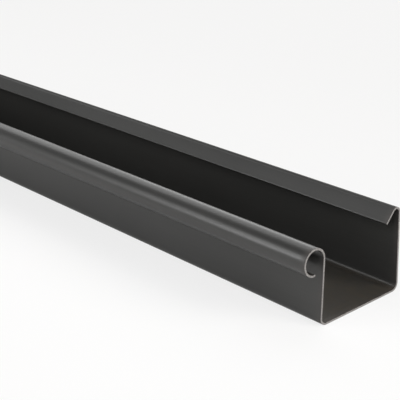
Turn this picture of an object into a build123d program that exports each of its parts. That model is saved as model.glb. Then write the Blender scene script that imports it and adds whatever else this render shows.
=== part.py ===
from build123d import *
import os
from math import cos, radians, sin, tan

# A length of box gutter: one extruded strip of constant wall, folded into a channel.
# X runs along the gutter, Y from the bead at the front to the wall at the rear, and Z up.
# The origin is at mid-length, under the floor, midway between the foremost and rearmost points.
# Sizes are in millimetres and angles in degrees.

# The stock
LENGTH = 2000.0
WALL = 1.4  # the same all round the section

# The channel
BOTTOM_WIDTH = 81.5  # where the outer faces of the two walls meet the plane that it stands on
FRONT_HEIGHT = 58.8  # to the top of the bead
REAR_HEIGHT = 64.4  # to the top of the rear fold
FRONT_LEAN = 1.1  # the front wall leans in by this much
REAR_LEAN = 2.5  # and the rear wall by this much
CORNER_INSIDE = 4.4  # inside radius where a wall meets the floor

# The open bead that the front wall curls into
BEAD_DIAMETER = 19.7  # outside
BEAD_SWEEP = 276.0  # from the wall, over the top, round to the free edge

# The lip that the rear wall folds into
FOLD_INSIDE = 3.0  # inside radius of the fold
LIP_ANGLE = 40.5  # between the lip and a plumb line
LIP_FLAT = 10.5  # length of its straight stretch

# The two free edges of the strip
EDGE_ROUND = 0.5

bead_radius = BEAD_DIAMETER / 2
front_lean = radians(FRONT_LEAN)
rear_lean = radians(REAR_LEAN)


def front_inside(height):
    """The point of the front wall's inner face at a height, as (across, up)."""
    return WALL / cos(front_lean) + height * tan(front_lean), height


def rear_inside(height):
    """The point of the rear wall's inner face at a height, as (across, up)."""
    return BOTTOM_WIDTH - WALL / cos(rear_lean) - height * tan(rear_lean), height


# Where the inner faces' straight stretches start and end
bead_seat = front_inside(FRONT_HEIGHT - bead_radius * (1 + sin(front_lean)))
front_foot = front_inside(WALL)
rear_foot = rear_inside(WALL)
fold_seat = rear_inside(REAR_HEIGHT - WALL - FOLD_INSIDE * (1 - sin(rear_lean)))

# The section's reach to the front and to the rear, and the middle between them
front_reach = bead_seat[0] - bead_radius * (1 + cos(front_lean))
corner_outside = CORNER_INSIDE + WALL
rear_reach = BOTTOM_WIDTH + corner_outside * (1 - (1 + sin(rear_lean)) / cos(rear_lean))
middle = (front_reach + rear_reach) / 2

with BuildPart() as gutter_section:
    with BuildSketch(Plane.YZ.shift_origin((0, -middle, 0))) as section:
        # The strip's inner face is one smooth line, and the wall's thickness is laid outside it
        with BuildLine():
            channel = FilletPolyline(bead_seat, front_foot, rear_foot, fold_seat, radius=CORNER_INSIDE)
            JernArc(start=channel @ 0, tangent=-(channel % 0), radius=bead_radius, arc_size=BEAD_SWEEP)
            fold = JernArc(
                start=channel @ 1,
                tangent=channel % 1,
                radius=FOLD_INSIDE,
                arc_size=180 - LIP_ANGLE - REAR_LEAN,
            )
            PolarLine(start=fold @ 1, length=LIP_FLAT, direction=fold % 1)
            offset(amount=WALL, side=Side.LEFT)
        make_face()
        free_edges = section.edges().sort_by(SortBy.LENGTH)[:2]
        fillet(free_edges.vertices(), radius=EDGE_ROUND)
    extrude(amount=LENGTH / 2, both=True)

gutter_section.part.label = "gutter_section"

os.makedirs("parts", exist_ok=True)
export_step(gutter_section.part, "parts/gutter_section.step")
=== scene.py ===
from math import ceil, cos, pi, radians, sin, sqrt, tan

import bpy
from mathutils import Matrix, Vector
from mathutils.noise import noise


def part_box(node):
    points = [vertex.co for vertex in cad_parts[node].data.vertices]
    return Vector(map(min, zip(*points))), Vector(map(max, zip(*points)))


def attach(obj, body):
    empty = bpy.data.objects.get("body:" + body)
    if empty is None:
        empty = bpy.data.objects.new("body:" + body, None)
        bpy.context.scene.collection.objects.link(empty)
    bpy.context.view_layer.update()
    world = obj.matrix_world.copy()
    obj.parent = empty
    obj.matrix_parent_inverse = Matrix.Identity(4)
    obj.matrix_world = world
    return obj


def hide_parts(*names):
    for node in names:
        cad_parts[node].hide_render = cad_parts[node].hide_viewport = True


# A length of anthracite box gutter, sawn square at its ends, on a plain white floor.
# Everything is in metres, in the frame of the CAD part: X along the gutter, Z up.

MM = 0.001

# The section, as the CAD part has it
WALL = 1.4 * MM
BOTTOM_WIDTH = 81.5 * MM
FRONT_HEIGHT = 58.8 * MM
FRONT_LEAN = radians(1.1)
REAR_LEAN = radians(2.5)
CORNER_INSIDE = 4.4 * MM
BEAD_RADIUS = 9.85 * MM
BEAD_SWEEP = radians(276.0)
FOLD_INSIDE = 3.0 * MM
LIP_ANGLE = radians(40.5)
LIP_FLAT = 10.5 * MM
EDGE_ROUND = 0.5 * MM

# How finely the section is drawn
STATION_STEP = 0.6 * MM
STATION_TURN = radians(4.0)
CLOSEST_STATIONS = 0.01 * MM
SAME_PLACE = 1e-9
EDGE_STEPS = (0.0, 0.04, 0.12, 0.25, 0.4)  # millimetres from a free edge
DEPTH_STEPS = 6  # across the wall
SHARP_ANGLE = radians(35.0)

# Where the rings of the mesh lie, in millimetres from each sawn end, and how far apart between
END_RINGS = (0.0, 0.08, 0.3, 0.8, 2.0, 5.0, 12.0, 25.0)
RING_STEP = 50.0 * MM

# The sawn faces: marks of the saw, and small chips along the arrises
SAW_MARK_DEPTH = 0.05 * MM
SAW_MARK_PITCH = 2.6 * MM
SAW_CENTRE = Vector((0.16, -0.05))
SAW_WEAR_SIZE = 4.0 * MM
ARRIS_DROP = 0.05 * MM
ARRIS_INSET = 0.5  # of the drop, towards the middle of the wall
CHIP_DEPTH = 0.22 * MM
CHIP_SPACING = 2.2 * MM
FAR_END_SEED = 3.1
NEAR_END_SEED = 11.7
CHIP_SEED = 7.3

# The skin
SKIN_DARK = (0.028, 0.028, 0.0268, 1.0)
SKIN_LIGHT = (0.034, 0.034, 0.0325, 1.0)
SKIN_LINE = (0.045, 0.045, 0.044, 1.0)
SKIN_ROUGHNESS = (0.29, 0.35)
LINE_DEPTH = 0.012 * MM
GRAIN_DEPTH = 0.006 * MM
UPVC_IOR = 1.5

# Painted warm light on the channel's floor, a patchy lighter brown tint, between these heights from
# the floor's upper face
PAINTED_WARM_LIGHT_COLOUR = (0.056, 0.044, 0.028, 1.0)
PAINTED_LIGHT_FADES_IN = (-0.3 * MM, -0.1 * MM)
PAINTED_LIGHT_FADES_OUT = (0.2 * MM, 3.0 * MM)
PAINTED_LIGHT_BEHIND_FRONT = (0.6 * WALL, 0.9 * WALL)  # from the front wall's foot

# The band beside each saw cut, where the skin is rubbed duller
RUBBED_BAND = 5.0 * MM
RUBBED_COLOUR = (0.05, 0.042, 0.039, 1.0)
RUBBED_SHARE = 0.6
RUBBED_ROUGHNESS = 0.25  # added to the skin's

# The sawn plastic
SAWN_DARK = (0.12, 0.114, 0.112, 1.0)
SAWN_LIGHT = (0.25, 0.239, 0.234, 1.0)
SAWN_FLECK = (0.07, 0.068, 0.066, 1.0)
SAWN_ROUGHNESS = 0.62
SCRATCH_DEPTH = 0.06 * MM

# The floor, and the share of plain white in it as the camera and as gloss see it
FLOOR_SIZE = 60.0
FLOOR_DARK = (0.8, 0.8, 0.8, 1.0)
FLOOR_LIGHT = (0.81, 0.81, 0.81, 1.0)
FLOOR_WHITE_SEEN = 0.75
FLOOR_WHITE_IN_GLOSS = 0.1
WHITE = (1.0, 1.0, 1.0, 1.0)

# How bright the sky is, as (elevation in degrees, level)
SKY = ((0.0, 0.9), (15.0, 0.15), (30.0, 0.35), (50.0, 0.1), (90.0, 0.1))
ZENITH = 90.0

# The camera, from the photograph's perspective, with its place given from the near end's floor
# corner
CAMERA_FROM_CORNER = Vector((393.13, -460.96, 326.95)) * MM
CAMERA_AZIMUTH = radians(47.870)
CAMERA_ELEVATION = radians(21.460)
CAMERA_ROLL = radians(-0.588)
CAMERA_LENS = 93.08
CAMERA_CLIP = (0.01, 100.0)
SENSOR_WIDTH = 36.0


# The section


def heading_vector(heading):
    return Vector((cos(heading), sin(heading)))


def left_of(heading):
    return Vector((-sin(heading), cos(heading)))


def front_inside(height):
    """The point of the front wall's inner face at a height, as (across, up)."""
    return Vector((WALL / cos(FRONT_LEAN) + height * tan(FRONT_LEAN), height))


def rear_inside(height):
    """The point of the rear wall's inner face at a height, as (across, up)."""
    return Vector((BOTTOM_WIDTH - WALL / cos(REAR_LEAN) - height * tan(REAR_LEAN), height))


def bead_seat():
    """Where the front wall's inner face runs into the bead."""
    return front_inside(FRONT_HEIGHT - BEAD_RADIUS * (1 + sin(FRONT_LEAN)))


def section_middle():
    """Where the middle of the section's width lies, measured from the front wall's foot."""
    front_reach = bead_seat().x - BEAD_RADIUS * (1 + cos(FRONT_LEAN))
    corner_outside = CORNER_INSIDE + WALL
    rear_reach = BOTTOM_WIDTH + corner_outside * (1 - (1 + sin(REAR_LEAN)) / cos(REAR_LEAN))
    return (front_reach + rear_reach) / 2


def strip_legs(rear_height):
    """Where the strip's inner face starts, its heading there, and its legs as (length, turn).

    They run from the bead's free edge down the front wall, across the floor, up the rear wall and
    down the lip.
    """
    seat = bead_seat()
    front_foot = front_inside(WALL)
    rear_foot = rear_inside(WALL)
    fold_seat = rear_inside(rear_height - WALL - FOLD_INSIDE * (1 - sin(REAR_LEAN)))
    bead_centre = seat - BEAD_RADIUS * heading_vector(-FRONT_LEAN)
    free_edge = BEAD_SWEEP - FRONT_LEAN
    front_turn = pi / 2 + FRONT_LEAN
    rear_turn = pi / 2 + REAR_LEAN
    fold_turn = pi - LIP_ANGLE - REAR_LEAN
    front_trim = CORNER_INSIDE * tan(front_turn / 2)
    rear_trim = CORNER_INSIDE * tan(rear_turn / 2)
    legs = (
        (BEAD_RADIUS * BEAD_SWEEP, -BEAD_SWEEP),
        ((seat - front_foot).length - front_trim, 0.0),
        (CORNER_INSIDE * front_turn, front_turn),
        ((rear_foot - front_foot).length - front_trim - rear_trim, 0.0),
        (CORNER_INSIDE * rear_turn, rear_turn),
        ((fold_seat - rear_foot).length - rear_trim, 0.0),
        (FOLD_INSIDE * fold_turn, fold_turn),
        (LIP_FLAT, 0.0),
    )
    start = bead_centre + BEAD_RADIUS * heading_vector(free_edge)
    return start, free_edge - pi / 2, legs


def strip_point(start, heading, legs, along):
    """The inner face's point this far along the strip, and the unit vector into the wall."""
    point = start
    for number, (length, turn) in enumerate(legs):
        last = number == len(legs) - 1
        step = along if last else min(along, length)
        if turn:
            radius = length / turn
            part = step / radius
            point = point + radius * (left_of(heading) - left_of(heading + part))
            heading += part
        else:
            point = point + step * heading_vector(heading)
        along -= step
        if along <= 0:
            break
    return point, -left_of(heading)


def station_distances(legs):
    """Distances along the strip at which the section is drawn, closer at the free edges."""
    total = sum(length for length, _ in legs)
    near_start = [step * MM for step in EDGE_STEPS]
    edge_stations = near_start + [total - step for step in near_start]
    distances = list(edge_stations)
    done = 0.0
    for length, turn in legs:
        count = max(ceil(length / STATION_STEP), ceil(abs(turn) / STATION_TURN))
        distances += [done + length * i / count for i in range(count + 1)]
        done += length
    kept = []
    for distance in sorted(distances):
        in_rounding = min(distance, total - distance) < EDGE_ROUND
        if in_rounding and all(abs(distance - edge) >= SAME_PLACE for edge in edge_stations):
            continue
        if not kept or distance - kept[-1] > CLOSEST_STATIONS:
            kept.append(distance)
    return kept, total


def section_grid(rear_height):
    """The section as columns across the wall, from the inner face to the outer, in (Y, Z)."""
    start, heading, legs = strip_legs(rear_height)
    distances, total = station_distances(legs)
    middle = Vector((section_middle(), 0.0))
    grid = []
    for distance in distances:
        point, into_wall = strip_point(start, heading, legs, distance)
        to_edge = min(distance, total - distance)
        rounding = EDGE_ROUND - min(to_edge, EDGE_ROUND)
        inset = EDGE_ROUND - sqrt(EDGE_ROUND**2 - rounding**2)
        column = []
        for step in range(DEPTH_STEPS + 1):
            depth = inset + (WALL - 2 * inset) * step / DEPTH_STEPS
            column.append(point + depth * into_wall - middle)
        grid.append(column)
    return grid


def outline_of(grid):
    """The grid's outline as (column, step) pairs, once round the section."""
    last_column = len(grid) - 1
    outline = [(i, 0) for i in range(last_column + 1)]
    outline += [(last_column, j) for j in range(1, DEPTH_STEPS)]
    outline += [(i, DEPTH_STEPS) for i in range(last_column, -1, -1)]
    outline += [(0, j) for j in range(DEPTH_STEPS - 1, 0, -1)]
    return outline


# The gutter's mesh


def saw_relief(point, seed):
    """How far a sawn face's point lies inside the end: arcs that the blade left, worn unevenly."""
    phase = 2 * pi * (point - SAW_CENTRE).length / SAW_MARK_PITCH
    uneven = noise(Vector((point.x / SAW_WEAR_SIZE, point.y / SAW_WEAR_SIZE, seed)))
    wave = 0.5 + 0.5 * sin(phase + 2 * uneven)
    return max(0.0, SAW_MARK_DEPTH * wave * (0.7 + 0.5 * uneven))


def chip_relief(point, seed):
    """How far the sawn face's arris is broken away at a point."""
    chip = noise(Vector((point.x / CHIP_SPACING, point.y / CHIP_SPACING, seed + CHIP_SEED)))
    return ARRIS_DROP + CHIP_DEPTH * max(0.0, chip) ** 1.5


def ring_places(half_length):
    """X of every ring of the mesh, from the far end to the near one."""
    ends = [distance * MM for distance in END_RINGS]
    inner = half_length - ends[-1]
    count = ceil(2 * inner / RING_STEP)
    middle = [-inner + 2 * inner * i / count for i in range(1, count)]
    return [-half_length + d for d in ends] + middle + [half_length - d for d in reversed(ends)]


def gutter_mesh(half_length, rear_height):
    """One closed mesh: material 0 is the extruded skin, 1 the sawn faces and their arrises."""
    grid = section_grid(rear_height)
    outline = outline_of(grid)
    on_outline = set(outline)
    vertices = []
    faces = []
    sawn = []

    def add_end(x, side, seed):
        """Adds one sawn face, and returns its outline as vertex numbers."""
        number = {}
        for i, column in enumerate(grid):
            for j, point in enumerate(column):
                relief = saw_relief(point, seed)
                place = point
                if (i, j) in on_outline:
                    drop = chip_relief(point, seed)
                    relief += drop
                    core = grid[i][DEPTH_STEPS // 2]
                    place = point + (core - point).normalized() * drop * ARRIS_INSET
                number[i, j] = len(vertices)
                vertices.append((x - side * relief, place.x, place.y))
        for i in range(len(grid) - 1):
            for j in range(DEPTH_STEPS):
                corners = ((i, j), (i, j + 1), (i + 1, j + 1), (i + 1, j))
                quad = tuple(number[corner] for corner in corners)
                faces.append(quad if side > 0 else quad[::-1])
                sawn.append(1)
        return [number[key] for key in outline]

    places = ring_places(half_length)
    rings = [add_end(places[0], -1, FAR_END_SEED)]
    for x in places[1:-1]:
        rings.append(range(len(vertices), len(vertices) + len(outline)))
        vertices.extend((x, grid[i][j].x, grid[i][j].y) for i, j in outline)
    rings.append(add_end(places[-1], 1, NEAR_END_SEED))
    count = len(outline)
    for number, (low, high) in enumerate(zip(rings, rings[1:])):
        arris = number in (0, len(rings) - 2)
        for i in range(count):
            after = (i + 1) % count
            faces.append((low[i], high[i], high[after], low[after]))
            sawn.append(1 if arris else 0)

    mesh = bpy.data.meshes.new("gutter_body")
    mesh.from_pydata(vertices, [], faces)
    mesh.polygons.foreach_set("material_index", sawn)
    mesh.polygons.foreach_set("use_smooth", [True] * len(faces))
    mesh.set_sharp_from_angle(angle=SHARP_ANGLE)
    mesh.update()
    return mesh


# Materials


class Nodes:
    """Adds shader nodes to one material or world and joins them."""

    def __init__(self, owner):
        owner.use_nodes = True
        self.tree = owner.node_tree
        self.tree.nodes.clear()

    def add(self, kind, inputs=None, **settings):
        """Adds a node, with inputs that are other nodes' outputs or plain values."""
        node = self.tree.nodes.new(kind)
        for key, value in settings.items():
            setattr(node, key, value)
        for key, value in (inputs or {}).items():
            if isinstance(value, bpy.types.NodeSocket):
                self.tree.links.new(value, node.inputs[key])
            else:
                node.inputs[key].default_value = value
        return node

    def object_position(self, scale=(1.0, 1.0, 1.0)):
        place = self.add("ShaderNodeTexCoord").outputs["Object"]
        return self.add("ShaderNodeMapping", {"Vector": place, "Scale": scale}).outputs[0]

    def noise(self, scale, detail=2.0, roughness=0.5, stretch=(1.0, 1.0, 1.0)):
        inputs = {
            "Vector": self.object_position(stretch),
            "Scale": scale,
            "Detail": detail,
            "Roughness": roughness,
        }
        return self.add("ShaderNodeTexNoise", inputs).outputs["Fac"]

    def ranged(self, value, source, target=(0.0, 1.0)):
        """Carries the source range over to the target range, and stops at its ends."""
        inputs = {0: value, 1: source[0], 2: source[1], 3: target[0], 4: target[1]}
        return self.add("ShaderNodeMapRange", inputs).outputs[0]

    def mixed(self, factor, first, second):
        """One colour mixed into another."""
        inputs = {0: factor, 6: first, 7: second}
        return self.add("ShaderNodeMix", inputs, data_type="RGBA").outputs[2]

    def math(self, operation, *values):
        inputs = dict(enumerate(values))
        return self.add("ShaderNodeMath", inputs, operation=operation).outputs[0]

    def plus(self, first, second):
        return self.math("ADD", first, second)

    def product(self, first, second):
        return self.math("MULTIPLY", first, second)

    def larger(self, first, second):
        return self.math("MAXIMUM", first, second)

    def separated(self, vector):
        return self.add("ShaderNodeSeparateXYZ", {0: vector}).outputs

    def bump(self, height, distance, normal=None):
        inputs = {"Height": height, "Distance": distance, "Strength": 1.0}
        if normal:
            inputs["Normal"] = normal
        return self.add("ShaderNodeBump", inputs).outputs[0]

    def principled(self, colour, roughness, **more):
        """A plastic or matt surface, with more inputs by their names with _ for a space."""
        inputs = {"Base Color": colour, "Roughness": roughness}
        inputs.update({key.replace("_", " "): value for key, value in more.items()})
        return self.add("ShaderNodeBsdfPrincipled", inputs).outputs[0]

    def surface(self, shader, kind="ShaderNodeOutputMaterial"):
        self.add(kind, {"Surface": shader})


def upvc_material(half_length):
    """Satin anthracite skin: faint lines along the extrusion, a fine grain, painted warm light as a
    patchy lighter tint on the channel's floor, and a rubbed band beside each saw cut."""
    material = bpy.data.materials.new("anthracite_upvc")
    n = Nodes(material)
    lines = n.noise(scale=900.0, detail=3.0, roughness=0.6, stretch=(0.004, 1.0, 1.0))
    cloud = n.noise(scale=14.0, detail=3.0, roughness=0.55, stretch=(0.35, 1.0, 1.0))
    mottle = n.noise(scale=260.0, detail=3.0, roughness=0.6, stretch=(0.5, 1.0, 1.0))
    grain = n.noise(scale=2600.0, detail=2.0, roughness=0.6)
    along, across, up = n.separated(n.object_position())

    colour = n.mixed(n.ranged(cloud, (0.3, 0.7)), SKIN_DARK, SKIN_LIGHT)
    colour = n.mixed(n.ranged(lines, (0.45, 0.8), (0.0, 0.25)), colour, SKIN_LINE)

    # Painted light: a patchy, warm, lighter tint on the channel's floor stands in for warm light
    # falling there
    below_top = n.ranged(up, [WALL + height for height in PAINTED_LIGHT_FADES_OUT], (1.0, 0.0))
    above_underside = n.ranged(up, [WALL + height for height in PAINTED_LIGHT_FADES_IN])
    foot = -section_middle()
    behind_front = n.ranged(across, [foot + distance for distance in PAINTED_LIGHT_BEHIND_FRONT])
    patchy = n.ranged(mottle, (0.3, 0.7), (0.15, 0.5))
    painted_light = n.product(n.product(below_top, above_underside), n.product(behind_front, patchy))
    colour = n.mixed(painted_light, colour, PAINTED_WARM_LIGHT_COLOUR)

    from_middle = n.math("ABSOLUTE", along)
    beside_cut = n.ranged(from_middle, (half_length - RUBBED_BAND, half_length))
    rubbed = n.product(beside_cut, n.ranged(mottle, (0.35, 0.65), (0.5, 1.0)))
    colour = n.mixed(n.product(rubbed, RUBBED_SHARE), colour, RUBBED_COLOUR)

    roughness = n.ranged(cloud, (0.25, 0.75), SKIN_ROUGHNESS)
    roughness = n.plus(roughness, n.product(rubbed, RUBBED_ROUGHNESS))
    normal = n.bump(grain, GRAIN_DEPTH, n.bump(lines, LINE_DEPTH))
    n.surface(n.principled(colour, roughness, IOR=UPVC_IOR, Normal=normal))
    return material


def sawn_material():
    """Sawn uPVC: chalky and lighter than the skin, with marks of the blade and dark flecks."""
    material = bpy.data.materials.new("sawn_upvc")
    n = Nodes(material)
    scratches = n.noise(scale=1400.0, detail=3.0, roughness=0.65, stretch=(1.0, 0.25, 1.0))
    flecks = n.noise(scale=700.0, detail=2.0, roughness=0.6)
    colour = n.mixed(n.ranged(scratches, (0.3, 0.7)), SAWN_DARK, SAWN_LIGHT)
    colour = n.mixed(n.ranged(flecks, (0.58, 0.7), (0.0, 0.7)), colour, SAWN_FLECK)
    normal = n.bump(scratches, SCRATCH_DEPTH)
    n.surface(n.principled(colour, SAWN_ROUGHNESS, IOR=UPVC_IOR, Normal=normal))
    return material


def floor_material():
    """White matt floor, with plain white mixed in for the camera and for gloss, so that the shadow
    on it is light."""
    material = bpy.data.materials.new("white_floor")
    n = Nodes(material)
    cloud = n.noise(scale=0.6)
    colour = n.mixed(n.ranged(cloud, (0.3, 0.7)), FLOOR_DARK, FLOOR_LIGHT)
    matt = n.principled(colour, 1.0, Specular_IOR_Level=0.0)
    white = n.add("ShaderNodeEmission", {"Color": WHITE, "Strength": 1.0}).outputs[0]
    ray = n.add("ShaderNodeLightPath").outputs
    in_gloss = n.larger(ray["Is Glossy Ray"], ray["Is Transmission Ray"])
    to_camera = n.product(ray["Is Camera Ray"], FLOOR_WHITE_SEEN)
    share = n.larger(to_camera, n.product(in_gloss, FLOOR_WHITE_IN_GLOSS))
    n.surface(n.add("ShaderNodeMixShader", {0: share, 1: matt, 2: white}).outputs[0])
    return material


# The studio


def direction(azimuth, elevation):
    """Unit vector towards a light, with azimuth measured from +Y towards +X."""
    a = radians(azimuth)
    e = radians(elevation)
    return Vector((sin(a) * cos(e), cos(a) * cos(e), sin(e)))


def make_floor():
    half = FLOOR_SIZE / 2
    mesh = bpy.data.meshes.new("floor")
    corners = [(-half, -half, 0.0), (half, -half, 0.0), (half, half, 0.0), (-half, half, 0.0)]
    mesh.from_pydata(corners, [], [(0, 1, 2, 3)])
    mesh.materials.append(floor_material())
    floor = bpy.data.objects.new("floor", mesh)
    bpy.context.collection.objects.link(floor)


def make_world():
    """A white horizon, a band of light above it, and a dim ceiling."""
    world = bpy.data.worlds.new("studio")
    bpy.context.scene.world = world
    n = Nodes(world)
    place = n.add("ShaderNodeTexCoord")
    height = n.separated(place.outputs["Generated"])[2]
    part_way_up = n.ranged(n.math("ARCSINE", height), (0.0, radians(ZENITH)))
    sky = n.add("ShaderNodeValToRGB", {0: part_way_up})
    stops = sky.color_ramp.elements
    stops.remove(stops[-1])
    for number, (elevation, level) in enumerate(SKY):
        stop = stops[0] if number == 0 else stops.new(elevation / ZENITH)
        stop.color = (level, level, level, 1.0)
    background = n.add("ShaderNodeBackground", {"Color": WHITE, "Strength": sky.outputs[0]})
    n.surface(background.outputs[0], "ShaderNodeOutputWorld")


def add_sun(name, azimuth, elevation, spread, strength, colour=(1.0, 1.0, 1.0)):
    """A soft light from far away, as wide in the sky as spread. Angles are in degrees."""
    light = bpy.data.lights.new(name, "SUN")
    light.angle = radians(spread)
    light.energy = strength
    light.color = colour
    lamp = bpy.data.objects.new(name, light)
    lamp.rotation_euler = direction(azimuth, elevation).to_track_quat("Z", "Y").to_euler()
    bpy.context.collection.objects.link(lamp)


def add_softbox(name, place, towards, width, height, watts, roll=0.0):
    """A rectangular soft light, hidden from the camera, that faces a point. Roll, in degrees, turns
    it about the line to that point."""
    light = bpy.data.lights.new(name, "AREA")
    light.shape = "RECTANGLE"
    light.size = width
    light.size_y = height
    light.energy = watts
    lamp = bpy.data.objects.new(name, light)
    facing = (Vector(place) - Vector(towards)).to_track_quat("Z", "Y").to_matrix().to_4x4()
    turned = facing @ Matrix.Rotation(radians(roll), 4, "Z")
    lamp.matrix_world = Matrix.Translation(place) @ turned
    lamp.visible_camera = False
    bpy.context.collection.objects.link(lamp)


def make_suns():
    """A warm key light from the right, behind the gutter, and weak fill from the front left."""
    add_sun("right", azimuth=65, elevation=28, spread=26, strength=2.25, colour=(1.0, 0.96, 0.9))
    add_sun("front", azimuth=-165, elevation=30, spread=20, strength=0.26)
    add_sun("front_left_low", azimuth=-143, elevation=15, spread=14, strength=0.45)
    add_sun("front_left_middle", azimuth=-138, elevation=27, spread=16, strength=0.26)
    add_sun("front_left_high", azimuth=-145, elevation=38, spread=26, strength=0.1)


def make_softboxes():
    """Strips along the gutter for the top of the bead, the fold and the lip, and boxes near its
    near end and behind it."""
    add_softbox(
        "over_channel",
        place=(-0.2, 0.04, 0.205),
        towards=(-0.2, -1.0, 0.205),
        width=2.4,
        height=0.21,
        watts=1.6,
        roll=1.5,
    )
    add_softbox(
        "bead_rim",
        place=(0.76, 0.04, 0.088),
        towards=(0.76, -1.0, 0.088),
        width=0.42,
        height=0.035,
        watts=0.05,
    )
    add_softbox(
        "over_lip",
        place=(-0.2, 0.03, 0.3),
        towards=(-0.2, 0.03, 0.0),
        width=2.4,
        height=0.1,
        watts=0.75,
    )
    add_softbox(
        "near_front",
        place=(1.25, -0.85, 0.75),
        towards=(0.95, -0.1, 0.0),
        width=0.5,
        height=0.5,
        watts=3.0,
    )
    add_softbox(
        "near_right",
        place=(1.7, -0.1, 0.5),
        towards=(0.95, 0.0, 0.0),
        width=0.5,
        height=0.5,
        watts=2.6,
    )
    add_softbox(
        "behind",
        place=(0.3, 1.4, 1.2),
        towards=(0.3, 0.8, 0.0),
        width=1.0,
        height=1.0,
        watts=2.6,
    )


def make_camera(half_length):
    corner = Vector((half_length, -section_middle(), 0.0))
    back = Vector((
        sin(CAMERA_AZIMUTH) * cos(CAMERA_ELEVATION),
        -cos(CAMERA_AZIMUTH) * cos(CAMERA_ELEVATION),
        sin(CAMERA_ELEVATION),
    ))
    level_right = Vector((0.0, 0.0, 1.0)).cross(back).normalized()
    level_up = back.cross(level_right)
    right = level_right * cos(CAMERA_ROLL) + level_up * sin(CAMERA_ROLL)
    up = level_up * cos(CAMERA_ROLL) - level_right * sin(CAMERA_ROLL)
    data = bpy.data.cameras.new("camera")
    data.sensor_width = SENSOR_WIDTH
    data.lens = CAMERA_LENS
    data.clip_start, data.clip_end = CAMERA_CLIP
    camera = bpy.data.objects.new("camera", data)
    turned = Matrix((right, up, back)).transposed().to_4x4()
    camera.matrix_world = Matrix.Translation(corner + CAMERA_FROM_CORNER) @ turned
    bpy.context.collection.objects.link(camera)
    bpy.context.scene.camera = camera


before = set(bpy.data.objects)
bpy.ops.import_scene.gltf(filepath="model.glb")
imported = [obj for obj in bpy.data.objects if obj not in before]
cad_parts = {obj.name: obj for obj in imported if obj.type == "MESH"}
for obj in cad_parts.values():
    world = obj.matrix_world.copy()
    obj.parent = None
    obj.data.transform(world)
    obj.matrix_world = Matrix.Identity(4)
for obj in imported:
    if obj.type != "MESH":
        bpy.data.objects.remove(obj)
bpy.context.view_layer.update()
low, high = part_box("gutter_section")

make_camera(high.x)

body = bpy.data.objects.new("gutter_body", gutter_mesh(high.x, high.z))
body.data.materials.append(upvc_material(high.x))
body.data.materials.append(sawn_material())
bpy.context.collection.objects.link(body)
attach(body, "root")
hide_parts("gutter_section")

make_floor()
make_world()
make_suns()
make_softboxes()
bpy.context.scene.view_settings.view_transform = "Standard"
